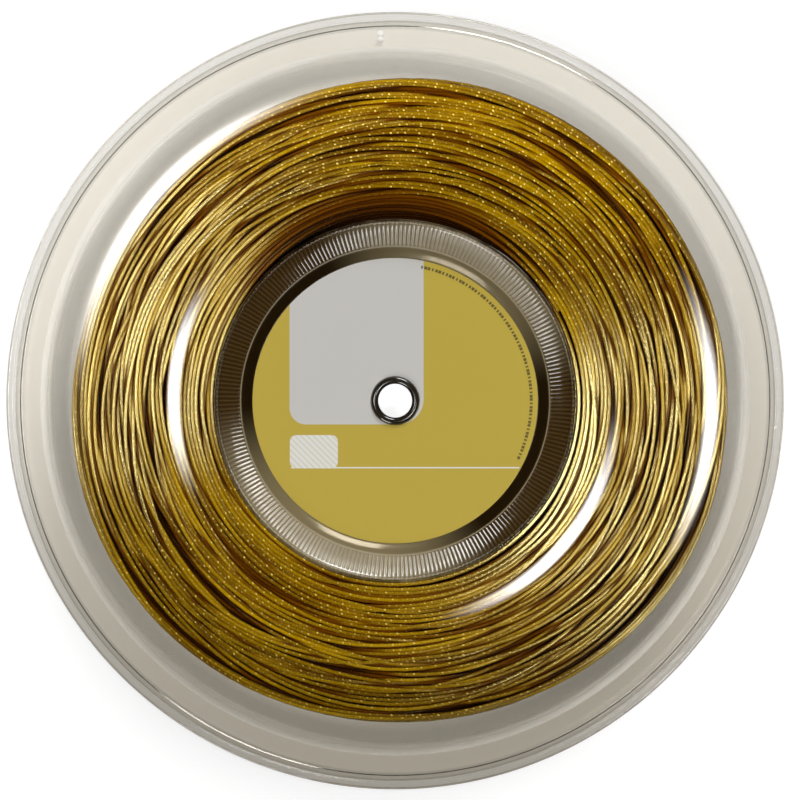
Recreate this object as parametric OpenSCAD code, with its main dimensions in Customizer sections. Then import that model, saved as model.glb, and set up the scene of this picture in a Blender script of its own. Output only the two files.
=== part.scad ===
// Reel of monofilament racket string: two clear flanges on a two-part fluted hub,
// a bush through both webs, a round label and the wound string.
// Millimetres. +Z is the reel's axis, the labelled side faces +Z and the rear rim stands on z = 0.

/* [Flanges] */
// Outer diameter of both flanges
reel_d = 260; // [230:1:300]
// Wall of the flange mouldings
flange_wall = 1.5; // [1.2:0.1:2.4]
// Clear width between the flanges at their narrowest
winding_w = 14; // [12:0.5:24]
// Width of the flat ring beside the drum
seat_ring_w = 10; // [6:0.5:14]
// Width of the step from that ring down to the narrow part
seat_step_w = 6.5; // [3:0.5:10]
// Height of that step
seat_step_h = 0.5; // [0.3:0.1:2]
// Width of the flare that opens towards the rim
flare_w = 22.5; // [18:0.5:26]
// Part of that width, at its inner edge, over which the flare bends up
flare_bend_w = 13.6; // [6:0.2:15]
// Part of it, at its outer edge, over which it bends back into the brim
brim_bend_w = 1.5; // [0.5:0.1:3]
// How far the flare leans outwards
flare_h = 4.7; // [2:0.1:6]
// Width of the flat brim outside the flare
brim_w = 11.5; // [8:0.5:14]
// Radial width of the bead along the rim
bead_w = 2.4; // [1.6:0.1:4]
// Height of the bead over the brim
bead_h = 0.7; // [0.4:0.1:1.5]
// Diameter of the hole in each brim for the free end
end_hole_d = 2.2; // [1.8:0.1:3]
// Distance of that hole's centre from the outer edge
end_hole_inset = 6.8; // [5:0.1:7.5]
// Direction of that hole, from +X
end_hole_angle = 92.3; // [0:0.1:360]

/* [Hub] */
// Diameter of the drum under the string
drum_d = 122; // [110:1:134]
// Wall of the drum
drum_wall = 1.8; // [1.4:0.1:2.4]
// Thickness of each web and of the cone over it
web_t = 1.5; // [1.2:0.1:2]
// Number of flutes round each cone
flute_count = 250; // [60:10:260]
// Radial width of the fluted cone
flute_w = 7; // [4:0.5:10]
// Depth of a flute
flute_depth = 0.3; // [0.15:0.05:0.35]
// Width of a flute
flute_opening = 0.85; // [0.4:0.05:0.95]
// Plain land left at both ends of a flute
flute_land = 0.3; // [0.2:0.05:0.6]
// Step at the inner end of the flutes
ledge_h = 0.4; // [0.35:0.05:0.6]
// Radial width of the smooth bevel round the label
bevel_w = 3.8; // [2:0.1:6]
// Height of that bevel
bevel_h = 2.2; // [1.5:0.1:3]
// Height of the collar that locates each flange
collar_h = 1.2; // [0.8:0.1:1.6]
// Overlap of the two drum halves
lap_h = 1.5; // [1:0.1:2.5]
// Direction of the slot where the string starts, from +X
slot_angle = 28.7; // [0:0.1:360]

/* [Bush] */
// Bore for the spindle
bore_d = 11.4; // [8:0.1:13]
// Wall of the bush between the webs
bush_wall = 1.2; // [0.8:0.1:1.6]
// How far each rolled lip reaches out over the web
lip_w = 1.3; // [0.8:0.1:2]
// Height of each rolled lip over the web
lip_h = 1.5; // [1:0.1:2]

/* [Label] */
// Thickness of the label
label_t = 0.2; // [0.1:0.05:0.4]
// Bare ring of web round the label
label_margin = 0.3; // [0.1:0.1:2]
// Gap between the label's hole and the bush
label_gap = 0.1; // [0.05:0.05:1]

/* [String] */
// Diameter of the string
string_d = 1.25; // [1.1:0.01:1.4]
// Distance from the rim down to the wound string
wound_inset = 21.6; // [18:0.1:30]
// Loops of the outer layer, over both faces and the outside
loop_count = 24; // [12:1:24]
// Waviness of the outer layer's loops
loop_wave = 0.8; // [0:0.1:1]

/* [Fits] */
// Gap between plastic parts that slide into each other
fit_gap = 0.05; // [0.02:0.01:0.15]
// Gap between the outer layer and the flanges
lay_gap = 0.3; // [0.1:0.05:0.4]
// Gap between the outer layer and the layers under it
core_gap = 0.2; // [0.1:0.05:0.4]

/* [Hidden] */
$fn = 128;
loop_rings = 24;
tube_sides = 6;
curve_steps = 10;
bend_steps = 4;
waves_per_loop = 3;
wave_turn = 85;

reel_r = reel_d / 2;
drum_r = drum_d / 2;
half_gap = winding_w / 2;
seat_z = half_gap + seat_step_h;
half_w = half_gap + flare_h + flange_wall + bead_h;
flare_end = reel_r - brim_w;
flare_start = flare_end - flare_w;
seat_ring_r = drum_r + seat_ring_w;

// The collar stands on the drum inside the flange's hole, between the flutes and the seam
collar_wall = drum_wall / 2;
collar_r = drum_r - collar_wall;
collar_in = drum_r - drum_wall;
flange_hole_r = collar_r + fit_gap;
flute_end = collar_in;
flute_start = flute_end - flute_w;
web_r = flute_start - bevel_w;
flute_top = seat_z - ledge_h / 2;
flute_foot = web_t + bevel_h + ledge_h;
flute_slope = atan2(flute_top - flute_foot, flute_w);
cone_drop = web_t / cos(flute_slope);

bore_r = bore_d / 2;
bush_r = bore_r + bush_wall;
web_hole_r = bush_r + fit_gap;
lip_r = bush_r + lip_w;
label_in = lip_r + label_gap;
label_r = web_r - label_margin;

wound_r = reel_r - wound_inset;
string_r = string_d / 2;
lay_depth = lay_gap + string_r;
chord_drop = wound_r * (1 - cos(180 / loop_rings));
slot_w = string_d + lay_gap;
start_z = seat_z - lay_depth;
start_turn_r = 2 * string_d;
start_r = drum_r + string_d;

// ---- shared curves ----

// Goes smoothly from 0 to 1 as t does
function ease(t) = let (u = min(max(t, 0), 1)) u * u * (3 - 2 * u);

// Rise of the flare at distance d from its inner edge: a bend up, a straight cone and a short bend back
flare_slope = flare_h / (flare_w - (flare_bend_w + brim_bend_w) / 2);
function flare_rise(d) = d <= 0 ? 0 : d >= flare_w ? flare_h
  : d < flare_bend_w ? flare_slope * d * d / (2 * flare_bend_w)
  : d < flare_w - brim_bend_w ? flare_slope * (d - flare_bend_w / 2)
  : flare_h - flare_slope * (flare_w - d) * (flare_w - d) / (2 * brim_bend_w);

// Height of a flange's inner face over the mid plane, at radius r
function face_z(r) = half_gap + seat_step_h * (1 - ease((r - seat_ring_r) / seat_step_w))
                     + flare_rise(r - flare_start);

// Radii at which a flange's section has its points, from the hub to the rim
function face_radii(first, last) = concat(
  [first],
  [for (i = [0:curve_steps]) seat_ring_r + seat_step_w * i / curve_steps],
  [for (i = [0:curve_steps]) let (r = flare_start + flare_bend_w * i / curve_steps) if (r < last) r],
  [for (i = [0:bend_steps]) let (r = flare_end - brim_bend_w * (1 - i / bend_steps)) if (r < last) r],
  [last]);

// Points of a quarter ellipse round c, from angle a to a + 90 or a - 90
function quarter(c, rx, ry, a, turn) = [for (i = [0:curve_steps]) let (b = a + turn * 90 * i / curve_steps)
                                        c + [rx * cos(b), ry * sin(b)]];

function reversed(list) = [for (i = [len(list) - 1:-1:0]) list[i]];

// ---- flanges ----

module flange_section() {
  brim_top = half_gap + flare_h + flange_wall;
  bead_in = reel_r - bead_w;
  radii = face_radii(flange_hole_r, bead_in - bead_h);
  edge_round = min(bead_w, flange_wall) / 2;
  hole_chamfer = flange_wall / 3;
  outer = [for (r = radii) if (r > flange_hole_r) [r, face_z(r) + flange_wall]];
  inner = [for (r = radii) [r, face_z(r)]];
  polygon(concat(
    [[flange_hole_r, seat_z + flange_wall - hole_chamfer],
     [flange_hole_r + hole_chamfer, seat_z + flange_wall]],
    outer,
    [[bead_in, brim_top + bead_h]],
    quarter([reel_r - edge_round, brim_top + bead_h - edge_round], edge_round, edge_round, 90, -1),
    quarter([reel_r - edge_round, half_gap + flare_h + edge_round], edge_round, edge_round, 0, -1),
    reversed(inner)));
}

module flange() {
  difference() {
    rotate_extrude() flange_section();
    rotate(end_hole_angle) translate([reel_r - end_hole_inset, 0, 0])
      cylinder(h = 2 * half_w, d = end_hole_d);
  }
}

module front_flange() {
  color([0.86, 0.86, 0.84, 0.45]) lift() flange();
}

module rear_flange() {
  color([0.80, 0.80, 0.78, 0.45]) lift() mirror([0, 0, 1]) flange();
}

// ---- hub ----

// Section of a hub half: web, bevel, fluted cone, collar and drum; the drum stops at wall_foot outside lap_r
module hub_section(wall_foot, lap_r) {
  collar_draft = collar_wall / 3;
  under_r = flute_start - (flute_foot - cone_drop) / tan(flute_slope);
  polygon([
    [web_hole_r, 0], [web_hole_r, web_t], [web_r, web_t],
    [flute_start - ledge_h / 2, web_t + bevel_h], [flute_start, flute_foot],
    [flute_end, flute_top], [collar_in + collar_draft, seat_z + collar_h],
    [collar_r, seat_z + collar_h], [collar_r, seat_z], [drum_r, seat_z],
    [drum_r, wall_foot], [lap_r, wall_foot], [lap_r, 0], [collar_in, 0],
    [collar_in, flute_top - cone_drop], [under_r, 0]]);
}

// One flute, cut along the slope of the cone and closed at both ends
module flute() {
  run = norm([flute_w, flute_top - flute_foot]) - 2 * flute_land;
  translate([flute_start, 0, flute_foot]) rotate([0, -flute_slope, 0]) translate([flute_land, 0, 0])
    rotate([90, 0, 90]) linear_extrude(run)
      polygon([[-flute_opening / 2, 0], [0, -flute_depth], [flute_opening / 2, 0],
               [flute_opening / 2, flute_depth], [-flute_opening / 2, flute_depth]]);
}

module hub_half(wall_foot, lap_r) {
  difference() {
    rotate_extrude() hub_section(wall_foot, lap_r);
    for (i = [0:flute_count - 1]) rotate(i * 360 / flute_count) flute();
  }
}

// The slot through collar and drum that the string starts from
module start_slot() {
  slot_in = flute_end - string_r;
  rotate(slot_angle) translate([slot_in, -slot_w / 2, start_z - slot_w / 2])
    cube([drum_r - slot_in + fit_gap, slot_w, half_w]);
}

module front_hub_half() {
  color([0.62, 0.60, 0.54, 0.6]) lift() difference() {
    hub_half(-lap_h, drum_r - drum_wall / 2 + fit_gap);
    start_slot();
  }
}

module rear_hub_half() {
  color([0.54, 0.52, 0.47, 0.6]) lift() mirror([0, 0, 1]) hub_half(lap_h, drum_r - drum_wall / 2);
}

// ---- bush and label ----

module spindle_bush() {
  bore_half = web_t + lip_h - bush_wall;
  side = concat(
    [[bush_r, web_t], [lip_r, web_t]],
    quarter([bore_r + bush_wall, web_t + lip_h / 4], lip_w, lip_h * 3 / 4, 0, 1),
    quarter([bore_r + bush_wall, bore_half], bush_wall, bush_wall, 90, 1));
  color([0.10, 0.10, 0.09]) lift() rotate_extrude()
    polygon(concat(side, [for (p = reversed(side)) [p[0], -p[1]]]));
}

module front_label() {
  color([0.73, 0.65, 0.25]) lift() translate([0, 0, web_t]) difference() {
    cylinder(h = label_t, r = label_r);
    translate([0, 0, -label_t]) cylinder(h = 3 * label_t, r = label_in);
  }
}

// ---- string ----

// Radii at which the wound string's section has its points, out to the last one under the outer layer
function wound_radii(first, last) = concat(
  [first],
  [for (r = face_radii(first, last)) if (r > first && r < last) r],
  [last]);

// The front half of the outer layer's section, depth below the flange, from the drum out to the mid plane
function wound_side(depth, r_in, r_out) = let (shoulder = r_out - 2 * string_d)
  concat([for (r = wound_radii(r_in, shoulder)) [r, face_z(r) - depth]],
         [[r_out, face_z(shoulder) - depth - 2 * string_d]]);

function both_sides(side) = concat(side, [for (p = reversed(side)) [p[0], -p[1]]]);

module string_inner_layers() {
  core = wound_side(lay_depth + string_r + core_gap, drum_r + fit_gap,
                    wound_r - string_r - chord_drop - core_gap);
  color([0.46, 0.36, 0.12]) lift() rotate_extrude() polygon(both_sides(core));
}

// Running length of a line of points, and the point at length s along it
function lengths(line) = let (last = len(line) - 1)
  [for (i = 0, s = 0; i <= last; s = s + norm(line[min(i + 1, last)] - line[i]), i = i + 1) s];
function along(line, runs, s, i = 0) = (i >= len(line) - 2 || s <= runs[i + 1])
  ? line[i] + (line[i + 1] - line[i]) * (s - runs[i]) / (runs[i + 1] - runs[i])
  : along(line, runs, s, i + 1);

// A point at radius r, sideways distance y and height z, in the direction a
function placed(r, y, z, a) = [r * cos(a) - y * sin(a), r * sin(a) + y * cos(a), z];

// The string's start: square through the drum wall, then a bend into the first loop
function start_points(a, z) = concat(
  [for (r = [flute_end, flute_end + string_d, start_r]) placed(r, 0, z, a)],
  [for (i = [1:bend_steps - 1]) let (b = 90 * i / bend_steps)
    placed(start_r + start_turn_r * sin(b), start_turn_r * (1 - cos(b)), z, a)]);

// The other end: the same bend in mirror image, closing on the drum behind
function end_points(a, z) = reversed(concat(
  [for (r = [drum_r + fit_gap, start_r]) placed(r, 0, z, a)],
  [for (i = [1:bend_steps - 1]) let (b = 90 * i / bend_steps)
    placed(start_r + start_turn_r * sin(b), -start_turn_r * (1 - cos(b)), z, a)]));

// The loops: an even pitch along the section's outline, with a slow wave that dies out at both ends
function loop_points() = let (
    side = wound_side(lay_depth, start_r + start_turn_r, wound_r),
    line = both_sides(side),
    runs = lengths(line),
    total = runs[len(runs) - 1],
    bend_angle = atan2(start_turn_r, start_r + start_turn_r),
    steps = loop_count * loop_rings)
  [for (i = [0:steps]) let (
      t = i / steps,
      turned = t * loop_count * 360,
      swing = loop_wave * min(1, t * loop_count / 2, (1 - t) * loop_count / 2),
      s = t * total + swing * sin(waves_per_loop * turned) * sin(wave_turn * t * loop_count),
      p = along(line, runs, min(max(s, 0), total)))
    placed(p[0], 0, p[1], slot_angle + bend_angle + turned)];

function string_route() = let (
    last = slot_angle + 2 * atan2(start_turn_r, start_r + start_turn_r) + loop_count * 360)
  concat(start_points(slot_angle, start_z), loop_points(), end_points(last, -start_z));

// Six-sided rings square to the route
function route_rings(route) = [for (i = [0:len(route) - 1]) let (
    before = route[max(i - 1, 0)],
    after = route[min(i + 1, len(route) - 1)],
    ahead = (after - before) / norm(after - before),
    side = cross(ahead, [0, 0, 1]) / norm(cross(ahead, [0, 0, 1])),
    up = cross(side, ahead))
  for (k = [0:tube_sides - 1]) let (b = 360 * (k + 0.5) / tube_sides)
    route[i] + string_r * (side * cos(b) + up * sin(b))];

function tube_faces(rings) = concat(
  [for (i = [0:rings - 2], k = [0:tube_sides - 1]) let (
      a = i * tube_sides + k,
      b = i * tube_sides + (k + 1) % tube_sides)
    each [[a, b, b + tube_sides], [a, b + tube_sides, a + tube_sides]]],
  [for (k = [1:tube_sides - 2]) [0, k + 1, k]],
  [for (k = [1:tube_sides - 2]) let (a = (rings - 1) * tube_sides) [a, a + k, a + k + 1]]);

// Least distance between points of the route that lie at least half a loop apart
function least_gap(route) = min([for (i = [0:len(route) - 1]) for (j = [i + loop_rings / 2:1:len(route) - 1])
                                 norm(route[i] - route[j])]) - string_d;

module string_outer_turns() {
  route = string_route();
  echo(least_gap_mm = least_gap(route));
  color([0.80, 0.66, 0.28]) lift()
    polyhedron(points = route_rings(route), faces = tube_faces(len(route)), convexity = 10);
}

// Puts the rear rim on z = 0
module lift() {
  translate([0, 0, half_w]) children();
}

front_flange();
rear_flange();
front_hub_half();
rear_hub_half();
spindle_bush();
front_label();
string_inner_layers();
string_outer_turns();
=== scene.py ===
"""Reel of rough racket string: clear flanges, fluted hub, bush, printed label and 200 m of wound string."""

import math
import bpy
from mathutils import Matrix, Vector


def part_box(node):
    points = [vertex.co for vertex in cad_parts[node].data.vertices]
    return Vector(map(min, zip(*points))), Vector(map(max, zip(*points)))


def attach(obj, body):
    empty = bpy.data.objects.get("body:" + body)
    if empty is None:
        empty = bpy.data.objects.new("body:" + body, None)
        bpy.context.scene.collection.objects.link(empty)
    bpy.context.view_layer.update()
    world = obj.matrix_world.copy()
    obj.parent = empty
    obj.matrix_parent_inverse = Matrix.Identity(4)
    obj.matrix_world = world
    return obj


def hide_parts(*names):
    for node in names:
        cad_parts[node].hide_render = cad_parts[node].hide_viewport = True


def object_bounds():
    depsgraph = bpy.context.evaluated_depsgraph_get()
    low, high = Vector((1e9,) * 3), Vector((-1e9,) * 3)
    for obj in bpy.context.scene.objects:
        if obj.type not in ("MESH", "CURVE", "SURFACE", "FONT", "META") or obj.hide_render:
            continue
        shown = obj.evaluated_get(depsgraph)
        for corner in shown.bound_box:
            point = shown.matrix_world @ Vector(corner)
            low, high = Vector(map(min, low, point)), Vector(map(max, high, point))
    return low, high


bl_info = {
    "name": "String Reel",
    "version": (1, 0, 0),
    "blender": (4, 5, 0),
    "location": "3D View > Sidebar > Reel",
    "description": "Makes a clear reel with a fluted hub, wound full of rough racket string",
    "category": "Add Mesh",
}

import bpy
import numpy as np
from mathutils import Vector
from bpy.props import FloatProperty, FloatVectorProperty, IntProperty, PointerProperty

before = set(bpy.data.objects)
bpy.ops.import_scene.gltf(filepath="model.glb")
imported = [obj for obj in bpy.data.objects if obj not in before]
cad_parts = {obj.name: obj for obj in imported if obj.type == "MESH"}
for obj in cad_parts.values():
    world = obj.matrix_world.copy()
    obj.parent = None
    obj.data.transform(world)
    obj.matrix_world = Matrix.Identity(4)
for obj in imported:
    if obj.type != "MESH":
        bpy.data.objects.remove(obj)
CAD_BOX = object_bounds()

MM = 0.001
FRONT_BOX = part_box("front_flange")
BUSH_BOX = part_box("spindle_bush")
LABEL_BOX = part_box("front_label")
MID_Z = (CAD_BOX[0].z + CAD_BOX[1].z) / 2
REEL_R = CAD_BOX[1].x
HALF_GAP = FRONT_BOX[0].z - MID_Z
BUSH_HALF = BUSH_BOX[1].z - MID_Z
LIP_R = BUSH_BOX[1].x
DRUM_R = 61 * MM
MERGE = 0.001 * MM
STRING_LIGHT = "lit_by_side_panels"
REST_LIGHT = "lit_by_key_and_fill"


# ---- sizes and colours that a user would change ----


def length(name, text, value, low=0.0, high=1.0):
    """Property for a length in metres."""
    return FloatProperty(
        name=name,
        description=text,
        default=value,
        min=low,
        max=high,
        subtype="DISTANCE",
        unit="LENGTH",
        precision=5,
    )


def position(name, text, value):
    """Property for a place on the label, which may lie on either side of the axis."""
    return length(name, text, value, low=-1.0)


def colour(name, text, value):
    return FloatVectorProperty(
        name=name, description=text, default=value, min=0, max=1, size=3, subtype="COLOR"
    )


def number(name, text, value, low=0.0, high=1.0):
    return FloatProperty(name=name, description=text, default=value, min=low, max=high)


def whole(name, text, value, low, high):
    return IntProperty(name=name, description=text, default=value, min=low, max=high)


class FlangeSizes(bpy.types.PropertyGroup):
    wall: length("Wall", "Wall of the clear mouldings", 1.5 * MM)
    seat_ring_w: length("Seat Ring", "Width of the flat ring beside the drum", 10 * MM)
    seat_step_w: length("Step Width", "Width of the step down from the seat ring", 6.5 * MM)
    seat_step_h: length("Step Height", "Height of that step", 0.5 * MM)
    flare_w: length("Flare Width", "Width of the flare that opens towards the rim", 22.5 * MM)
    flare_bend_w: length("Flare Bend", "Part of that width over which the flare bends up", 13.6 * MM)
    brim_bend_w: length("Brim Bend", "Part of that width over which it bends back into the brim", 1.5 * MM)
    flare_h: length("Flare Height", "How far the flare leans outwards", 4.7 * MM)
    brim_w: length("Brim Width", "Width of the flat brim outside the flare", 11.5 * MM)
    support: length("Support", "Width of the strips that keep flat faces flat beside a curve", 0.25 * MM)
    bead_w: length("Bead Width", "Radial width of the bead along the rim", 2.4 * MM)
    bead_h: length("Bead Height", "Height of the bead over the brim", 0.7 * MM)
    hole_r: length("Hub Hole", "Radius of the hole that the hub's collar fits", 60.15 * MM)
    end_hole_d: length("End Hole", "Diameter of the hole in the brim for the free end", 2.2 * MM)
    end_hole_inset: length("End Hole Inset", "Distance of that hole from the rim", 6.8 * MM)
    end_hole_angle: number("End Hole Angle", "Direction of that hole in degrees", 92.3, 0, 360)
    sectors: whole("Sectors", "Sectors that make up one turn", 256, 64, 360)


class HubSizes(bpy.types.PropertyGroup):
    web_t: length("Web Thickness", "Thickness of each half's web", 1.5 * MM)
    web_r: length("Web Radius", "Radius at which the flat web meets the bevel", 48.4 * MM)
    hole_r: length("Bush Hole", "Radius of the hole that the bush fits", 6.95 * MM)
    cone_in_r: length("Cone Start", "Radius at which the fluted cone starts", 52.2 * MM)
    cone_out_r: length("Cone End", "Radius at which the fluted cone ends", 59.2 * MM)
    cone_foot: length("Cone Foot", "Height of the cone's start over the mid plane", 4.1 * MM)
    cone_inset: length("Cone Inset", "How far the cone's end lies below the flange's seat", 0.2 * MM)
    collar_r: length("Collar Radius", "Radius of the collar that centres the flange", 60.1 * MM)
    collar_h: length("Collar Height", "Height of the collar over the flange's seat", 1.2 * MM)
    lap: length("Lap", "How far the front half's skirt laps over the rear half", 1.5 * MM)
    lap_gap: length("Lap Gap", "Clearance inside that skirt", 0.05 * MM)
    flutes: whole("Flutes", "Flutes round each cone", 250, 60, 260)
    flute_depth: length("Flute Depth", "Depth of a flute", 0.3 * MM)
    tooth_h: length("Collar Teeth", "Height of the fine teeth on the collar's edge", 0.25 * MM)


class BushSizes(bpy.types.PropertyGroup):
    bore_r: length("Bore", "Radius of the bore", 5.7 * MM)
    tube_r: length("Tube", "Radius of the tube between the rolled lips", 6.9 * MM)
    roll_w: length("Roll", "How far the lip's crown stands outside the bore", 1.2 * MM)
    skirt_h: length("Skirt", "Height of the straight edge below the outer roll", 0.35 * MM)
    sectors: whole("Sectors", "Sectors that make up one turn", 128, 48, 256)


class LabelSizes(bpy.types.PropertyGroup):
    panel_left: position("Panel Left", "Left edge of the grey panel", -35.6 * MM)
    panel_right: position("Panel Right", "Right edge of the grey panel", 9.6 * MM)
    panel_foot: position("Panel Foot", "Lower edge of the grey panel", -8.0 * MM)
    panel_head: position("Panel Head", "Upper edge of the grey panel, beyond the label's", 60.0 * MM)
    left_corner: length("Left Corner", "Radius of the panel's lower left corner", 5.5 * MM)
    right_corner: length("Right Corner", "Radius of the panel's corner round the bush", 8.5 * MM)
    badge_left: position("Badge Left", "Left edge of the badge", -35.5 * MM)
    badge_foot: position("Badge Foot", "Lower edge of the badge", -22.8 * MM)
    badge_w: length("Badge Width", "Width of the badge", 16.2 * MM)
    badge_h: length("Badge Height", "Height of the badge", 11.2 * MM)
    badge_corner: length("Badge Corner", "Radius of the badge's corners", 2.2 * MM)
    hatch_pitch: length("Hatch Pitch", "Distance across and up between the badge's hatch lines", 2.1 * MM)
    line_left: position("Line Left", "Left end of the thin line", -35.1 * MM)
    line_right: position("Line Right", "Right end of the thin line", 41.9 * MM)
    line_middle: position("Line Middle", "Height of the thin line's middle", -22.6 * MM)
    line_h: length("Line Height", "Thickness of the thin line", 0.44 * MM)
    dash_r: length("Dashes' Radius", "Radius of the row of dashes", 45.9 * MM)
    dash_h: length("Dash Height", "Height of a dash", 1.0 * MM)


class StringSizes(bpy.types.PropertyGroup):
    diameter: length("Diameter", "Diameter of the string", 1.25 * MM)
    turns: whole("Turns", "Turns of the whole string on the drum", 366, 50, 420)
    steps: whole("Steps", "Steps in one turn", 96, 48, 128)
    sides: whole("Sides", "Sides of the string's section", 8, 5, 12)
    wander: length("Wander", "How far the turns sway from a neat winding", 1.5 * MM)
    strays: whole("Strays", "Short arches that single turns make", 420, 0, 3000)
    pitch: length("Dimple Pitch", "Distance between the rough dimples along the string", 2.4 * MM)
    seed: whole("Seed", "Seed of the winding's unevenness", 7, 0, 999)


class ReelColours(bpy.types.PropertyGroup):
    clear: colour("Clear Plastic", "Tint of the flanges", (0.90, 0.88, 0.838))
    smoky: colour("Hub Plastic", "Tint of the hub", (0.05, 0.024, 0.003))
    gold: colour("String Gold", "Body colour of the string", (0.27, 0.140, 0.0002))
    # painted highlight: the glint colour is painted on the raised dimples as dots of light
    glint: colour("String Glint", "Colour of the raised dimples", (0.95, 0.74, 0.16))
    sheen: colour("String Sheen", "Colour of the light that glances off the string", (1.0, 0.91, 0.45))
    black: colour("Bush", "Colour of the bush", (0.022, 0.016, 0.009))
    label: colour("Label Gold", "Ground colour of the label", (0.58, 0.43, 0.055))
    panel: colour("Label Grey", "Colour of the label's grey panel", (0.65, 0.63, 0.59))
    ink: colour("Ink", "Colour of the label's fine dashes", (0.03, 0.024, 0.012))
    paper: colour("Paper", "Colour of the label's badge and of its back", (0.86, 0.85, 0.80))


class StudioSettings(bpy.types.PropertyGroup):
    left_power: number("Left Lamp", "Radiance of the left softbox", 25.0, 0, 100)
    right_power: number("Right Lamp", "Radiance of the right softbox", 23.0, 0, 100)
    key_power: number("Key Panel", "Radiance of the panel beyond the reel's top", 11.5, 0, 100)
    fill_power: number("Fill Panel", "Radiance of the panel beyond the reel's foot", 7.0, 0, 100)
    side_power: number("Side Panels", "Radiance of the two panels that light only the string", 16.5, 0, 100)
    ambient: number("Ambient", "Strength of the room's light low down; it is dark overhead", 0.03, 0, 5)


# ---- node helpers ----


def add_node(tree, kind, values=None, **settings):
    """A node with its settings made; each value is a number, a colour or the output that feeds the input."""
    made = tree.nodes.new(kind)
    for name, value in settings.items():
        setattr(made, name, value)
    for key, value in (values or {}).items():
        if isinstance(value, bpy.types.NodeSocket):
            tree.links.new(value, made.inputs[key])
        else:
            made.inputs[key].default_value = value
    return made


def maths(tree, operation, *values):
    """Output of a Math node on the values."""
    return add_node(tree, "ShaderNodeMath", dict(enumerate(values)), operation=operation).outputs[0]


def mixed(tree, share, low, high):
    """The colour low where share is 0 and high where it is 1."""
    made = add_node(tree, "ShaderNodeMix", {0: share}, data_type="RGBA", clamp_factor=True)
    for key, value in ((6, low), (7, high)):
        if isinstance(value, bpy.types.NodeSocket):
            tree.links.new(value, made.inputs[key])
        else:
            made.inputs[key].default_value = (*value[:3], 1)
    return made.outputs[2]


def scaled(tint, *factors):
    """The colour with its channels multiplied by three factors, or all of them by one."""
    if len(factors) == 1:
        factors *= 3
    return tuple(channel * factor for channel, factor in zip(tint, factors))


def ramp(tree, value, low, high, to_low=0.0, to_high=1.0):
    """Smooth step from to_low to to_high while the value goes from low to high."""
    limits = {0: value, 1: low, 2: high, 3: to_low, 4: to_high}
    made = add_node(tree, "ShaderNodeMapRange", limits, clamp=True, interpolation_type="SMOOTHSTEP")
    return made.outputs[0]


def zone(tree, value, start, rise, end, fall):
    """Mask of the values from start to end, with soft edges of widths rise and fall inside it."""
    entered = ramp(tree, value, start, start + rise)
    left = ramp(tree, value, end - fall, end, 1.0, 0.0)
    return maths(tree, "MULTIPLY", entered, left)


def noise(tree, place, scale, detail):
    """Noise from 0 to 1 at a place; the scale sets how fine it is."""
    values = {"Vector": place, "Scale": scale, "Detail": detail}
    return add_node(tree, "ShaderNodeTexNoise", values).outputs[0]


def toward(tree, bearing, degrees):
    """1 in the given direction from the reel's axis, 0 across it and -1 on the far side."""
    return maths(tree, "COSINE", maths(tree, "SUBTRACT", bearing, math.radians(degrees)))


def new_group(name, inputs, outputs):
    """An empty shader group with named sockets, and its input and output nodes."""
    group = bpy.data.node_groups.new(name, "ShaderNodeTree")
    for label, kind, value in inputs:
        socket = group.interface.new_socket(label, in_out="INPUT", socket_type=kind)
        if value is not None:
            socket.default_value = value
    for label, kind in outputs:
        group.interface.new_socket(label, in_out="OUTPUT", socket_type=kind)
    return group, group.nodes.new("NodeGroupInput"), group.nodes.new("NodeGroupOutput")


def place_group(tree, name, **values):
    """A node that uses the shader group of that name; each value goes to the input of its name."""
    made = tree.nodes.new("ShaderNodeGroup")
    made.node_tree = bpy.data.node_groups[name]
    for key, value in values.items():
        socket = made.inputs[key.replace("_", " ").title()]
        if isinstance(value, bpy.types.NodeSocket):
            tree.links.new(value, socket)
        else:
            socket.default_value = value
    return made


def new_material(name):
    """An empty material, its node tree and its output node."""
    material = bpy.data.materials.new(name)
    material.use_nodes = True
    tree = material.node_tree
    tree.nodes.clear()
    return material, tree, tree.nodes.new("ShaderNodeOutputMaterial")


# ---- shared shader groups ----


def grain_group():
    """Fine unevenness of a moulded surface: a roughness and a height, from Object coordinates."""
    group, ins, outs = new_group(
        "Moulded Grain",
        [
            ("Scale", "NodeSocketFloat", 400.0),
            ("Low", "NodeSocketFloat", 0.02),
            ("High", "NodeSocketFloat", 0.08),
        ],
        [("Roughness", "NodeSocketFloat"), ("Height", "NodeSocketFloat")],
    )
    place = add_node(group, "ShaderNodeTexCoord").outputs["Object"]
    fine = noise(group, place, ins.outputs["Scale"], 3.0)
    broad = noise(group, place, 30.0, 2.0)
    share = ramp(group, maths(group, "MULTIPLY", fine, broad), 0.12, 0.42)
    spread = maths(group, "SUBTRACT", ins.outputs["High"], ins.outputs["Low"])
    rough = maths(group, "MULTIPLY_ADD", share, spread, ins.outputs["Low"])
    group.links.new(rough, outs.inputs["Roughness"])
    group.links.new(fine, outs.inputs["Height"])


def axis_group():
    """Distance from the reel's axis and bearing round it, from Object coordinates."""
    group, _, outs = new_group(
        "Round the Axis", [], [("Radius", "NodeSocketFloat"), ("Bearing", "NodeSocketFloat")]
    )
    place = add_node(group, "ShaderNodeTexCoord").outputs["Object"]
    split = add_node(group, "ShaderNodeSeparateXYZ", {0: place})
    flat = add_node(group, "ShaderNodeCombineXYZ", {0: split.outputs[0], 1: split.outputs[1]})
    radius = add_node(group, "ShaderNodeVectorMath", {0: flat.outputs[0]}, operation="LENGTH")
    bearing = maths(group, "ARCTAN2", split.outputs[1], split.outputs[0])
    group.links.new(radius.outputs["Value"], outs.inputs["Radius"])
    group.links.new(bearing, outs.inputs["Bearing"])


# ---- materials ----


def round_axis(tree):
    """Radius and bearing of the shaded point."""
    axis = place_group(tree, "Round the Axis")
    return axis.outputs["Radius"], axis.outputs["Bearing"]


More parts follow.
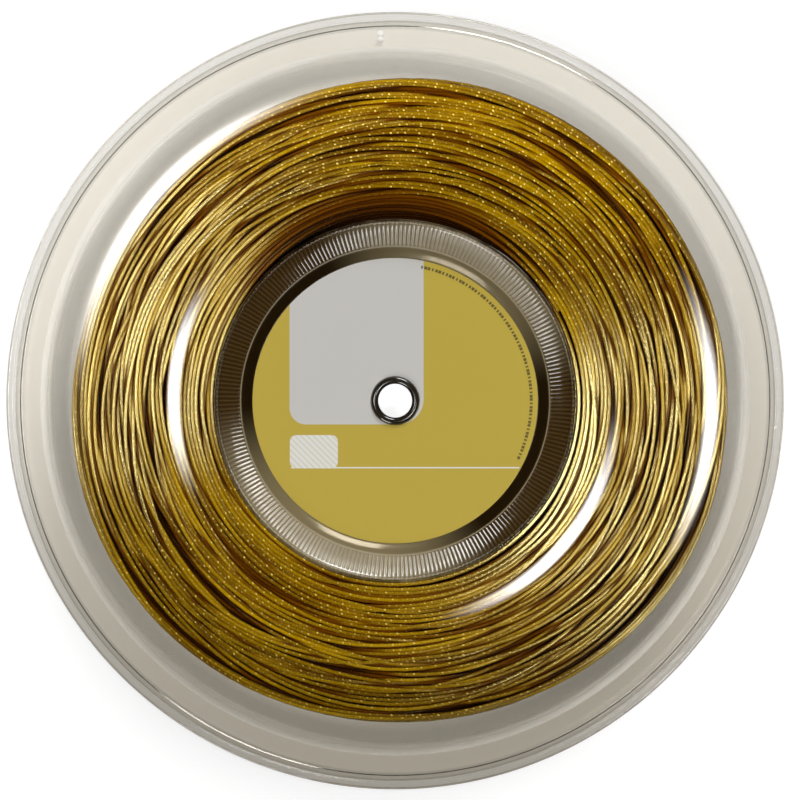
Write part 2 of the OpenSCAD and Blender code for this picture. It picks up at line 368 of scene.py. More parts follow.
def grain_bump(tree, grain, strength):
    """Normal of a surface with the moulded grain's height on it."""
    height = grain.outputs["Height"]
    values = {"Strength": strength, "Distance": 0.1 * MM, "Height": height}
    return add_node(tree, "ShaderNodeBump", values).outputs[0]


def principled(tree, output, values):
    """Ends the material with one Principled shader."""
    shader = add_node(tree, "ShaderNodeBsdfPrincipled", values)
    tree.links.new(shader.outputs[0], output.inputs["Surface"])


def clear_material(colours, s):
    """Clear plastic: bends what the camera sees through it and lets the lamps' light straight through; its
    tint carries painted shade over the flare and the rim and painted light on the brim.
    """
    material, tree, output = new_material("clear_plastic")
    grain = place_group(tree, "Moulded Grain", low=0.015, high=0.05)
    radius, _ = round_axis(tree)
    tint = tuple(colours.clear)
    flare_end = REEL_R - s.brim_w
    rim_start = REEL_R - 3.8 * MM
    flare = zone(tree, radius, flare_end - 10 * MM, 3 * MM, flare_end - 0.5 * MM, 1.5 * MM)
    crest = zone(tree, radius, flare_end - 2.5 * MM, 0.8 * MM, flare_end + 0.7 * MM, 1 * MM)
    brim = ramp(tree, radius, flare_end - 1.3 * MM, flare_end + 0.7 * MM)
    rim = ramp(tree, radius, rim_start, rim_start + 0.8 * MM)
    # painted shade and light in the tint: darker over the flare, where the winding's shadow falls on the
    # floor below, lighter on the brim, and darker on the rim
    paint = mixed(tree, flare, tint, scaled(tint, 0.86))
    paint = mixed(tree, brim, paint, scaled(tint, 1.06))
    paint = mixed(tree, rim, paint, scaled(tint, 0.84))
    worn = maths(tree, "MAXIMUM", crest, maths(tree, "MULTIPLY", rim, 0.2))
    rough = maths(tree, "MULTIPLY_ADD", worn, 0.30, grain.outputs["Roughness"])
    body = add_node(
        tree,
        "ShaderNodeBsdfPrincipled",
        {
            "Base Color": paint,
            "Roughness": rough,
            "IOR": 1.57,
            "Transmission Weight": 1.0,
            "Normal": grain_bump(tree, grain, 0.004),
        },
    )
    through = add_node(tree, "ShaderNodeBsdfTransparent", {"Color": (0.97, 0.965, 0.955, 1)})
    rays = add_node(tree, "ShaderNodeLightPath").outputs
    seen = maths(tree, "MAXIMUM", rays["Is Camera Ray"], rays["Is Transmission Ray"])
    inside = maths(tree, "MODULO", rays["Transmission Depth"], 2.0)
    solid = maths(tree, "MAXIMUM", seen, inside)
    both = add_node(tree, "ShaderNodeMixShader", {0: solid, 1: through.outputs[0], 2: body.outputs[0]})
    tree.links.new(both.outputs[0], output.inputs["Surface"])
    return material


def dimple_pattern(tree, along, pitch):
    """Raised dimples where two spirals of opposite hand cross on the string, and the moat round each, where
    shade is painted.
    """
    around = add_node(tree, "ShaderNodeAttribute", attribute_name="around").outputs["Vector"]
    split = add_node(tree, "ShaderNodeSeparateXYZ", {0: around})
    turn = maths(tree, "ARCTAN2", split.outputs[1], split.outputs[0])
    phase = maths(tree, "MULTIPLY", along, 2 * math.pi / pitch)
    single = maths(tree, "COSINE", maths(tree, "ADD", phase, turn))
    double = maths(tree, "COSINE", maths(tree, "MULTIPLY_ADD", turn, -2.0, phase))
    both = maths(tree, "ADD", single, double)
    return ramp(tree, both, 0.8, 1.6), zone(tree, both, 0.2, 0.6, 1.3, 0.4)


def along_noise(tree, along, beats, detail, row=0.0):
    """Noise that changes only along the string, with so many beats to a metre."""
    run = maths(tree, "MULTIPLY", along, beats)
    place = add_node(tree, "ShaderNodeCombineXYZ", {0: run, 1: row})
    return noise(tree, place.outputs[0], 1.0, detail)


def string_material(colours, sizes):
    """Rough gold monofilament with raised dimples, with painted shade where other turns rise over it,
    painted glints and painted light by bearing.
    """
    material, tree, output = new_material("string_gold")
    along = add_node(tree, "ShaderNodeAttribute", attribute_name="along").outputs["Fac"]
    buried = add_node(tree, "ShaderNodeAttribute", attribute_name="buried").outputs["Fac"]
    place = add_node(tree, "ShaderNodeTexCoord").outputs["Object"]
    radius, bearing = round_axis(tree)
    upward = maths(tree, "SINE", bearing)
    gold = tuple(colours.gold)

    # body colour, which changes slowly along the string, with painted shade in the moat round each dimple
    dimple, moat = dimple_pattern(tree, along, sizes.pitch)
    batch = ramp(tree, along_noise(tree, along, 13.2, 1.0), 0.35, 0.68)
    body = mixed(tree, batch, scaled(gold, 0.55, 0.50, 1.0), scaled(gold, 1.42, 1.62, 2.0))
    moat_shaded = mixed(tree, maths(tree, "MULTIPLY", moat, 0.65), body, scaled(gold, 0.25))

    # painted glints: dots of the glint colour on the dimples, fewer where the side lamps' sheen hides them
    # and more towards the reel's top
    dots = ramp(tree, along_noise(tree, along, 300.0, 0.0), 0.40, 0.66, 0.0, 0.95)
    sheen_side = maths(tree, "ABSOLUTE", toward(tree, bearing, -17))
    showing = ramp(tree, sheen_side, 0.5, 0.95, 1.0, 0.3)
    showing = maths(tree, "MULTIPLY", showing, ramp(tree, upward, -0.9, 0.9, 0.7, 1.0))
    painted_glints = maths(tree, "MULTIPLY", maths(tree, "MULTIPLY", dimple, dots), showing)
    glint_dotted = mixed(tree, painted_glints, moat_shaded, tuple(colours.glint))

    # painted shade in the gaps, where other turns rise over the string, darkest where it lies deep; painted
    # light on the outer turns towards the reel's top and painted shade towards its foot
    shaded = mixed(tree, ramp(tree, buried, 0.15, 1.3), glint_dotted, scaled(gold, 0.33, 0.19, 0.1))
    deep = mixed(tree, ramp(tree, buried, 1.2, 4.0), shaded, scaled(gold, 0.09, 0.045, 0.0))
    barrel_light = maths(tree, "MULTIPLY", upward, ramp(tree, radius, DRUM_R + 13 * MM, DRUM_R + 43 * MM))
    level = maths(tree, "MULTIPLY_ADD", barrel_light, 0.42, 1.0)
    paint = add_node(tree, "ShaderNodeVectorMath", {0: deep, "Scale": level}, operation="SCALE")

    # sheen, stronger on some stretches and, as a painted highlight, on the inner turns at the lower right;
    # weaker as painted shade where other turns rise over the string
    near_drum = ramp(tree, radius, DRUM_R + 3 * MM, DRUM_R + 17 * MM, 0.5, 0.0)
    lower_right_sheen = maths(tree, "MULTIPLY", ramp(tree, toward(tree, bearing, -40), 0.4, 1.0), near_drum)
    stretch = ramp(tree, along_noise(tree, along, 8.0, 1.0, 7.0), 0.36, 0.62, 0.12, 0.55)
    lively = maths(tree, "ADD", lower_right_sheen, stretch)
    sheen = maths(tree, "MULTIPLY", ramp(tree, buried, 0.1, 1.2, 1.0, 0.08), lively)

    # surface, with the highlights drawn out across the string
    height = maths(tree, "MULTIPLY_ADD", noise(tree, place, 1500.0, 2.0), 0.03, dimple)
    bump = add_node(tree, "ShaderNodeBump", {"Strength": 0.6, "Distance": 0.03 * MM, "Height": height})
    spot = add_node(tree, "ShaderNodeSeparateXYZ", {0: place})
    back = maths(tree, "MULTIPLY", spot.outputs[1], -1.0)
    flow = add_node(tree, "ShaderNodeCombineXYZ", {0: back, 1: spot.outputs[0]})
    normal = add_node(tree, "ShaderNodeNewGeometry").outputs["Normal"]
    across = add_node(
        tree, "ShaderNodeVectorMath", {0: flow.outputs[0], 1: normal}, operation="CROSS_PRODUCT"
    )
    principled(
        tree,
        output,
        {
            "Base Color": paint.outputs[0],
            "Roughness": 0.25,
            "Anisotropic": 1.0,
            "Tangent": across.outputs[0],
            "IOR": 3.0,
            "Specular IOR Level": sheen,
            "Specular Tint": (*colours.sheen, 1),
            "Normal": bump.outputs[0],
        },
    )
    return material


def hub_material(colours, s):
    """Smoky clear plastic with painted highlights on the ribs between the flutes and on the collar's teeth,
    and painted light where it turns towards the lamps.
    """
    material, tree, output = new_material("smoky_plastic")
    radius, bearing = round_axis(tree)
    wave = maths(tree, "COSINE", maths(tree, "MULTIPLY", bearing, float(s.flutes)))
    rib = ramp(tree, wave, 0.0, 0.9)
    cone = zone(tree, radius, s.cone_in_r - 0.1 * MM, 0.4 * MM, s.cone_out_r, 0.2 * MM)
    collar = zone(tree, radius, s.cone_out_r, 0.2 * MM, s.collar_r + 0.1 * MM, 0.1 * MM)
    ledge = zone(tree, radius, s.cone_in_r - 0.4 * MM, 0.1 * MM, s.cone_in_r + 0.1 * MM, 0.1 * MM)
    bevel = ramp(tree, radius, s.cone_in_r - 0.8 * MM, s.cone_in_r - 0.4 * MM, 1.0, 0.0)

    # painted light and shade: a paler lit colour where the plastic turns towards the lamps beyond the reel's
    # top and foot, a darker shaded one elsewhere, and darker still on the bevel
    lower = ramp(tree, toward(tree, bearing, -116), 0.45, 1.0)
    upper = ramp(tree, toward(tree, bearing, 62), 0.55, 1.0)
    pale = maths(tree, "MAXIMUM", lower, maths(tree, "MULTIPLY", upper, 0.75))
    dark = mixed(tree, bevel, colours.smoky, scaled(colours.smoky, 0.3))
    light = mixed(tree, bevel, (0.36, 0.30, 0.19), (0.27, 0.215, 0.11))
    ground = mixed(tree, pale, dark, light)
    # painted highlights: paler crests on the ribs of the cone and of the collar's teeth, stronger where they
    # turn towards the lamps
    rib_highlight = maths(tree, "MULTIPLY", rib, maths(tree, "MAXIMUM", cone, collar))
    rib_highlight = maths(tree, "MULTIPLY", rib_highlight, maths(tree, "MULTIPLY_ADD", pale, 0.38, 0.06))
    ribbed = mixed(tree, rib_highlight, ground, (0.60, 0.47, 0.25))
    # painted highlight: a paler line along the ledge at the cone's inner edge
    paint = mixed(tree, maths(tree, "MULTIPLY", ledge, 0.5), ribbed, (0.60, 0.52, 0.36))

    grain = place_group(tree, "Moulded Grain", low=0.10, high=0.22)
    principled(
        tree,
        output,
        {
            "Base Color": paint,
            "Roughness": grain.outputs["Roughness"],
            "IOR": 1.6,
            "Specular Tint": mixed(tree, bevel, (1.0, 1.0, 1.0), (1.0, 0.87, 0.64)),
            "Coat Weight": maths(tree, "MULTIPLY_ADD", bevel, -0.85, 1.0),
            "Coat IOR": 1.4,
            "Coat Roughness": maths(tree, "MULTIPLY_ADD", bevel, 0.14, 0.16),
            "Normal": grain_bump(tree, grain, 0.05),
        },
    )
    return material


def bush_material(colours):
    """Dark polished plastic."""
    material, tree, output = new_material("bush_black")
    grain = place_group(tree, "Moulded Grain", low=0.12, high=0.25)
    principled(
        tree,
        output,
        {
            "Base Color": (*colours.black, 1),
            "Roughness": grain.outputs["Roughness"],
            "IOR": 1.55,
            "Coat Weight": 0.8,
            "Coat Roughness": 0.12,
            "Normal": grain_bump(tree, grain, 0.05),
        },
    )
    return material


def rounded_box(tree, x, y, left, right, foot, head, corner):
    """Mask of a rectangle with round corners on the label's face."""
    blur = 0.12 * MM
    off_x = maths(tree, "ABSOLUTE", maths(tree, "SUBTRACT", x, (left + right) / 2))
    off_y = maths(tree, "ABSOLUTE", maths(tree, "SUBTRACT", y, (foot + head) / 2))
    dx = maths(tree, "SUBTRACT", off_x, (right - left) / 2 - corner)
    dy = maths(tree, "SUBTRACT", off_y, (head - foot) / 2 - corner)
    out_x = maths(tree, "MAXIMUM", dx, 0.0)
    out_y = maths(tree, "MAXIMUM", dy, 0.0)
    square = maths(tree, "MULTIPLY_ADD", out_x, out_x, maths(tree, "MULTIPLY", out_y, out_y))
    outside = maths(tree, "SQRT", square)
    inside = maths(tree, "MINIMUM", maths(tree, "MAXIMUM", dx, dy), 0.0)
    return ramp(tree, maths(tree, "ADD", outside, inside), corner - blur, corner + blur, 1.0, 0.0)


def dash_row(tree, s):
    """Mask of the uneven row of dashes along the label's edge."""
    radius, bearing = round_axis(tree)
    middle, reach = math.radians(26.7), math.radians(52.3)
    off_ring = maths(tree, "ABSOLUTE", maths(tree, "SUBTRACT", radius, s.dash_r))
    off_middle = maths(tree, "ABSOLUTE", maths(tree, "SUBTRACT", bearing, middle))
    on_ring = maths(tree, "LESS_THAN", off_ring, s.dash_h / 2)
    in_reach = maths(tree, "LESS_THAN", off_middle, reach)
    beat = maths(tree, "SINE", maths(tree, "MULTIPLY", bearing, 230.0))
    swing = maths(tree, "SINE", maths(tree, "MULTIPLY", bearing, 67.0))
    dash = maths(tree, "GREATER_THAN", maths(tree, "MULTIPLY_ADD", swing, 0.6, beat), -0.35)
    return maths(tree, "MULTIPLY", maths(tree, "MULTIPLY", on_ring, in_reach), dash)


def label_material(colours, s):
    """Printed film: gold ground, grey panel round the bush, hatched badge, thin line and fine dashes."""
    material, tree, output = new_material("label_print")
    place = add_node(tree, "ShaderNodeTexCoord").outputs["Object"]
    x, y, z = add_node(tree, "ShaderNodeSeparateXYZ", {0: place}).outputs
    panel_y = (s.panel_foot, s.panel_head)
    badge_edges = (s.badge_left, s.badge_left + s.badge_w, s.badge_foot, s.badge_foot + s.badge_h)
    line_y = (s.line_middle - s.line_h / 2, s.line_middle + s.line_h / 2)
    left_part = rounded_box(tree, x, y, s.panel_left, 0.0, *panel_y, s.left_corner)
    right_part = rounded_box(tree, x, y, s.panel_left, s.panel_right, *panel_y, s.right_corner)
    panel = maths(tree, "MAXIMUM", left_part, right_part)
    badge = rounded_box(tree, x, y, *badge_edges, s.badge_corner)
    line = rounded_box(tree, x, y, s.line_left, s.line_right, *line_y, 0.1 * MM)
    slope = maths(tree, "MULTIPLY", maths(tree, "ADD", x, y), 2 * math.pi / s.hatch_pitch)
    hatch = ramp(tree, maths(tree, "SINE", slope), 0.45, 0.75, 0.0, 0.35)

    print_face = mixed(tree, panel, colours.label, colours.panel)
    print_face = mixed(tree, line, print_face, colours.paper)
    print_face = mixed(tree, badge, print_face, colours.paper)
    print_face = mixed(tree, maths(tree, "MULTIPLY", badge, hatch), print_face, colours.label)
    print_face = mixed(tree, maths(tree, "MULTIPLY", dash_row(tree, s), 0.8), print_face, colours.ink)
    foot = LABEL_BOX[0].z
    top = ramp(tree, z, foot + 0.02 * MM, foot + 0.06 * MM)

    grain = place_group(tree, "Moulded Grain", low=0.34, high=0.5)
    principled(
        tree,
        output,
        {
            "Base Color": mixed(tree, top, colours.paper, print_face),
            "Roughness": grain.outputs["Roughness"],
            "Specular IOR Level": 0.25,
            "Normal": grain_bump(tree, grain, 0.08),
        },
    )
    return material


# ---- geometry node trees ----


def new_geometry_tree(name, inputs):
    """An empty Geometry Nodes tree with named inputs, and its input and output nodes."""
    tree = bpy.data.node_groups.new(name, "GeometryNodeTree")
    tree.is_modifier = True
    tree.interface.new_socket("Geometry", in_out="INPUT", socket_type="NodeSocketGeometry")
    for label, kind, value in inputs:
        socket = tree.interface.new_socket(label, in_out="INPUT", socket_type=kind)
        if value is not None:
            socket.default_value = value
    tree.interface.new_socket("Geometry", in_out="OUTPUT", socket_type="NodeSocketGeometry")
    return tree, tree.nodes.new("NodeGroupInput"), tree.nodes.new("NodeGroupOutput")


def ring_tree():
    """Tree that repeats one sector round the Z axis and welds the copies into one closed ring."""
    name = "Ring of Sectors"
    if name in bpy.data.node_groups:
        return bpy.data.node_groups[name]
    tree, ins, outs = new_geometry_tree(
        name,
        [
            ("Count", "NodeSocketInt", 64),
            ("Weld Distance", "NodeSocketFloat", MERGE),
            ("Finish", "NodeSocketMaterial", None),
        ],
    )
    points = add_node(tree, "GeometryNodePoints", {"Count": ins.outputs["Count"]})
    index = add_node(tree, "GeometryNodeInputIndex").outputs[0]
    step = maths(tree, "DIVIDE", 2 * math.pi, ins.outputs["Count"])
    spin = add_node(tree, "ShaderNodeCombineXYZ", {2: maths(tree, "MULTIPLY", index, step)})
    copies = add_node(
        tree,
        "GeometryNodeInstanceOnPoints",
        {"Points": points.outputs[0], "Instance": ins.outputs["Geometry"], "Rotation": spin.outputs[0]},
    )
    real = add_node(tree, "GeometryNodeRealizeInstances", {0: copies.outputs[0]})
    weld = {"Geometry": real.outputs[0], "Distance": ins.outputs["Weld Distance"]}
    welded = add_node(tree, "GeometryNodeMergeByDistance", weld)
    finish = {"Geometry": welded.outputs[0], "Material": ins.outputs["Finish"]}
    finished = add_node(tree, "GeometryNodeSetMaterial", finish)
    tree.links.new(finished.outputs[0], outs.inputs[0])
    return tree


def string_tube_tree():
    """Tree that sweeps a round section along the route and stores the direction round the string."""
    tree, ins, outs = new_geometry_tree(
        "String Tube",
        [
            ("Radius", "NodeSocketFloat", 0.625 * MM),
            ("Sides", "NodeSocketInt", 8),
            ("Finish", "NodeSocketMaterial", None),
        ],
    )
    line = add_node(tree, "GeometryNodeMeshToCurve", {"Mesh": ins.outputs["Geometry"]})
    section = {"Resolution": ins.outputs["Sides"], "Radius": ins.outputs["Radius"]}
    ring = add_node(tree, "GeometryNodeCurvePrimitiveCircle", section)
    place = add_node(tree, "GeometryNodeInputPosition").outputs[0]
    unit = add_node(tree, "ShaderNodeVectorMath", {0: place}, operation="NORMALIZE")
    marked = add_node(
        tree,
        "GeometryNodeStoreNamedAttribute",
        {"Geometry": ring.outputs["Curve"], "Name": "around", "Value": unit.outputs[0]},
        data_type="FLOAT_VECTOR",
    )
    tube = add_node(
        tree,
        "GeometryNodeCurveToMesh",
        {"Curve": line.outputs[0], "Profile Curve": marked.outputs[0], "Fill Caps": True},
    )
    real = add_node(tree, "GeometryNodeRealizeInstances", {0: tube.outputs[0]})
    finish = {"Geometry": real.outputs[0], "Material": ins.outputs["Finish"]}
    finished = add_node(tree, "GeometryNodeSetMaterial", finish)
    tree.links.new(finished.outputs[0], outs.inputs[0])
    return tree


def run_tree(mesh, tree, name, **values):
    """The tree's result on a mesh, as a new object with a plain mesh at the origin."""
    source = bpy.data.objects.new(name + "_source", mesh)
    bpy.context.scene.collection.objects.link(source)
    modifier = source.modifiers.new(tree.name, "NODES")
    modifier.node_group = tree
    ids = {s.name: s.identifier for s in tree.interface.items_tree if s.in_out == "INPUT"}
    for key, value in values.items():
        modifier[ids[key.replace("_", " ").title()]] = value
    graph = bpy.context.evaluated_depsgraph_get()
    result = bpy.data.meshes.new_from_object(
        source.evaluated_get(graph), preserve_all_data_layers=True, depsgraph=graph
    )
    bpy.data.objects.remove(source)
    bpy.data.meshes.remove(mesh)
    result.name = name
    made = bpy.data.objects.new(name, result)
    bpy.context.scene.collection.objects.link(made)
    return made


def shade(obj, angle=35):
    """Smooth shading with crisp edges where the surface turns by more than the angle."""
    obj.data.shade_smooth()
    obj.data.set_sharp_from_angle(angle=math.radians(angle))


def sector_mesh(name, sections, span):
    """One sector: closed sections, each a list of (radius, height), at even steps across the span."""
    count, rows = len(sections[0]), len(sections)
    verts, faces = [], []
    for k, section in enumerate(sections):
        bearing = span * k / (rows - 1)
        verts += [(r * math.cos(bearing), r * math.sin(bearing), z) for r, z in section]
    for k in range(rows - 1):
        for i in range(count):
            j = (i + 1) % count
            faces.append((k * count + i, (k + 1) * count + i, (k + 1) * count + j, k * count + j))
    mesh = bpy.data.meshes.new(name)
    mesh.from_pydata(verts, [], faces)
    return mesh


def turned(name, section, sectors, material):
    """A closed section turned round the reel's axis; its points run anticlockwise in (radius, height)."""
    mesh = sector_mesh(name, [section, section], 2 * math.pi / sectors)
    made = run_tree(mesh, ring_tree(), name, count=sectors, finish=material)
    shade(made)
    return made


def dress(obj, slot, *nodes):
    """Hangs the piece on the reel's body, in place of the plain nodes; the slot is not used."""
    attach(obj, "root")
    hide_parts(*nodes)


# ---- shapes shared by the flanges and the winding ----


def ease(t):
    """Smooth step from 0 to 1 while t goes from 0 to 1."""
    u = np.clip(t, 0, 1)
    return u * u * (3 - 2 * u)


def flare_rise(d, s):
    """Rise of the flare at distance d from its inner edge: a bend up, a cone and a short bend back."""
    slope = s.flare_h / (s.flare_w - (s.flare_bend_w + s.brim_bend_w) / 2)
    d = np.clip(d, 0, s.flare_w)
    bend = slope * d * d / (2 * s.flare_bend_w)
    cone = slope * (d - s.flare_bend_w / 2)
    back = s.flare_h - slope * (s.flare_w - d) ** 2 / (2 * s.brim_bend_w)
    return np.where(d < s.flare_bend_w, bend, np.where(d < s.flare_w - s.brim_bend_w, cone, back))


def face_height(r, s):
    """Height of a flange's inner face over the mid plane, at radius r."""
    flare_start = REEL_R - s.brim_w - s.flare_w
    step = s.seat_step_h * (1 - ease((r - DRUM_R - s.seat_ring_w) / s.seat_step_w))
    return HALF_GAP + step + flare_rise(r - flare_start, s)


def arc(cx, cz, rx, rz, start, turn, steps=6):
    """Points of a quarter ellipse from angle start, turning by turn degrees."""
    angles = [math.radians(start + turn * i / steps) for i in range(steps + 1)]
    return [(cx + rx * math.cos(a), cz + rz * math.sin(a)) for a in angles]


def flange_section(s):
    """Section of the front flange, anticlockwise, over the mid plane."""
    strip = 1 * MM
    step_start = DRUM_R + s.seat_ring_w
    step_end = step_start + s.seat_step_w
    flare_end = REEL_R - s.brim_w
    flare_start = flare_end - s.flare_w
    bead_in = REEL_R - s.bead_w
    brim_z = HALF_GAP + s.flare_h
    top = brim_z + s.wall
    nose = s.bead_h / 2
    lip = s.wall * 0.45
    chamfer = s.wall / 3
    radii = [s.hole_r, step_start - strip]
    radii += list(np.linspace(step_start, step_end, 16))
    radii += [step_end + strip, flare_start - strip]
    radii += list(np.linspace(flare_start, flare_start + s.flare_bend_w, 24))
    radii += list(np.linspace(flare_end - s.brim_bend_w, flare_end, 8))
    radii += [flare_end + s.support, bead_in - nose - 2 * s.support]
    inner = [(r, float(face_height(r, s))) for r in radii]
    rim = [(REEL_R - lip - s.support, brim_z)]
    rim += arc(REEL_R - lip, brim_z + lip, lip, lip, -90, 90)
    rim += arc(REEL_R - lip, top + s.bead_h - lip, lip, lip, 0, 90)
    bead = [(REEL_R - lip - s.support, top + s.bead_h), (bead_in + nose + s.support, top + s.bead_h)]
    bead += arc(bead_in + nose, top + s.bead_h - nose, nose, nose, 90, 75)
    fillet = arc(bead_in - nose, top + nose, nose, nose, 345, -75)
    outer = [(r, z + s.wall) for r, z in reversed(inner)]
    hole_top = outer.pop()[1]
    hole = [(s.hole_r + chamfer, hole_top), (s.hole_r, hole_top - chamfer)]
    return inner + rim + bead + fillet + outer + hole


def mirrored(section):
    """The section on the other side of the mid plane, anticlockwise again."""
    return [(r, -z) for r, z in reversed(section)]


def lifted(section):
    """The section moved from the mid plane to its place in the frame."""
    return [(r, z + MID_Z) for r, z in section]


def drill(obj, s):
    """Cuts the hole for the free end through the brim."""
    bearing = math.radians(s.end_hole_angle)
    from_axis = REEL_R - s.end_hole_inset
    centre_x, centre_y = from_axis * math.cos(bearing), from_axis * math.sin(bearing)
    heights = [v.co.z for v in obj.data.vertices]
    sides = 40
    verts, faces = [], []
    for z in (min(heights) - MM, max(heights) + MM):
        for k in range(sides):
            a = 2 * math.pi * k / sides
            x = centre_x + s.end_hole_d / 2 * math.cos(a)
            y = centre_y + s.end_hole_d / 2 * math.sin(a)
            verts.append((x, y, z))
    for k in range(sides):
        j = (k + 1) % sides
        faces.append((k, j, sides + j, sides + k))
    faces += [tuple(reversed(range(sides))), tuple(range(sides, 2 * sides))]
    cutter_mesh = bpy.data.meshes.new("drill")
    cutter_mesh.from_pydata(verts, [], faces)
    cutter = bpy.data.objects.new("drill", cutter_mesh)
    bpy.context.scene.collection.objects.link(cutter)
    cut = obj.modifiers.new("Hole", "BOOLEAN")
    cut.operation, cut.solver, cut.object = "DIFFERENCE", "EXACT", cutter
    graph = bpy.context.evaluated_depsgraph_get()
    result = bpy.data.meshes.new_from_object(obj.evaluated_get(graph), depsgraph=graph)
    obj.modifiers.clear()
    old, obj.data = obj.data, result
    bpy.data.meshes.remove(old)
    bpy.data.objects.remove(cutter)
    bpy.data.meshes.remove(cutter_mesh)
    result.name = obj.name
    shade(obj)


def hub_section(s, dip, front, seat):
    """Section of a hub half, anticlockwise, with the flutes cut by dip (0 on a rib, 1 in a flute)."""
    outer_round, inner_round, chamfer, blend = 0.25 * MM, 0.2 * MM, 0.2 * MM, 0.3 * MM
    head = seat - s.cone_inset
    crown = seat + s.collar_h - s.tooth_h * dip
    lap_r = s.collar_r + (s.lap_gap if front else 0)
    lap_z = -s.lap if front else s.lap
    bush_seat = [(s.hole_r + chamfer, s.web_t), (s.hole_r, s.web_t - chamfer), (s.hole_r, 0.0)]
    under_web = [(s.web_r - 0.6 * MM, 0.0)]
    under_cone = [(s.cone_in_r + blend, s.cone_foot - 1.55 * MM), (s.cone_out_r, head - 1.7 * MM)]
    skirt = [(s.cone_out_r, 0.0), (lap_r, 0.0), (lap_r, lap_z), (DRUM_R, lap_z)]
    shoulder = [(DRUM_R, seat), (s.collar_r, seat)]
    collar = arc(s.collar_r - outer_round, crown - outer_round, outer_round, outer_round, 0, 90, 4)
    collar_in = s.cone_out_r + 0.5 * MM
    collar += arc(collar_in, crown - inner_round, inner_round, inner_round, 90, 90, 3)
    land = [(s.cone_out_r + 0.1 * MM, head + 0.1 * MM)]
    cone = []
    stations = (0.955, 0.9, 0.5, 0.1, 0.045, 0.0)
    for q in stations:
        cut = 0 if q in (stations[0], stations[-1]) else s.flute_depth * dip
        r = s.cone_in_r + (s.cone_out_r - s.cone_in_r) * q
        cone.append((r, s.cone_foot + (head - s.cone_foot) * q - cut))
    bevel = [(s.cone_in_r - 0.2 * MM, s.cone_foot - 0.4 * MM)]
    bevel += [(s.web_r + blend, s.web_t + 0.25 * MM), (s.web_r - blend, s.web_t)]
    return under_web + under_cone + skirt + shoulder + collar + land + cone + bevel + bush_seat


def bush_section(s, web_t):
    """Section of the bush, anticlockwise: a tube with a lip rolled outwards over each web."""
    chamfer_w, chamfer_h = 0.1 * MM, 0.12 * MM
    crown_r = s.bore_r + s.roll_w
    roll_foot = web_t + s.skirt_h
    bore_end = 1.8 * MM
    side = [(s.tube_r, 0.0), (s.tube_r, web_t), (LIP_R - chamfer_w, web_t), (LIP_R, web_t + chamfer_h)]
    side += arc(crown_r, roll_foot, LIP_R - crown_r, BUSH_HALF - roll_foot, 0, 90, 12)
    side += arc(crown_r, bore_end, s.roll_w, BUSH_HALF - bore_end, 90, 90, 12)[1:]
    return side + mirrored(side[1:])


# ---- winding ----


def soft_noise(rng, t, waves, low, high):
    """Smooth unevenness along the string, t in turns, with parts from low to high beats per turn."""
    total = np.zeros_like(t)
    for f in np.geomspace(low, high, waves):
        beat = f * rng.uniform(0.9, 1.1)
        total += math.sqrt(low / f) * np.sin(2 * math.pi * (beat * t + rng.uniform()))
    return total / math.sqrt(waves / 2)


def shared_sway(rng, t):
    """Smooth sway that neighbouring turns share: waves round the reel that drift a little with each turn."""
    total = np.zeros_like(t)
    for waves in (1, 2, 2, 3, 3, 4):
        drift = rng.choice([-1, 1]) * rng.uniform(0.03, 0.14)
        total += np.sin(2 * math.pi * ((waves + drift) * t + rng.uniform())) / math.sqrt(3)
    return total


def bell(x, width):
    """1 at x = 0, smoothly down to nearly 0 at twice the width on both sides."""
    return np.exp(-((x / width) ** 2))


def strays(rng, t, count):
    """Short arches at random places along the string, where a turn leaves its neighbours."""
    total = np.zeros(t.size)
    steps = t.shape[1]
    reach = steps // 4
    offset = np.arange(-reach, reach + 1)
    for place in rng.integers(reach, t.size - reach, count):
        width = steps * rng.uniform(0.06, 0.13)
        arch = rng.choice([-1, 1]) * rng.uniform(0.8, 2.2)
        total[place - reach : place + reach + 1] += arch * bell(offset, width)
    return total.reshape(t.shape)


def near_pairs(r, z, reach):
    """Pairs of turns that lie within reach of each other at the same step, as (step, turn, turn)."""
    found = []
    for j in range(r.shape[1]):
        order = np.argsort(r[:, j])
        rs, zs = r[order, j], z[order, j]
        for gap in range(1, len(order)):
            close = rs[gap:] - rs[:-gap] < reach
            if not close.any():
                break
            both = close & (np.abs(zs[gap:] - zs[:-gap]) < reach)
            k = np.nonzero(both)[0]
            found.append(np.stack([np.full(len(k), j), order[k], order[k + gap]]))
    return np.concatenate(found, axis=1)


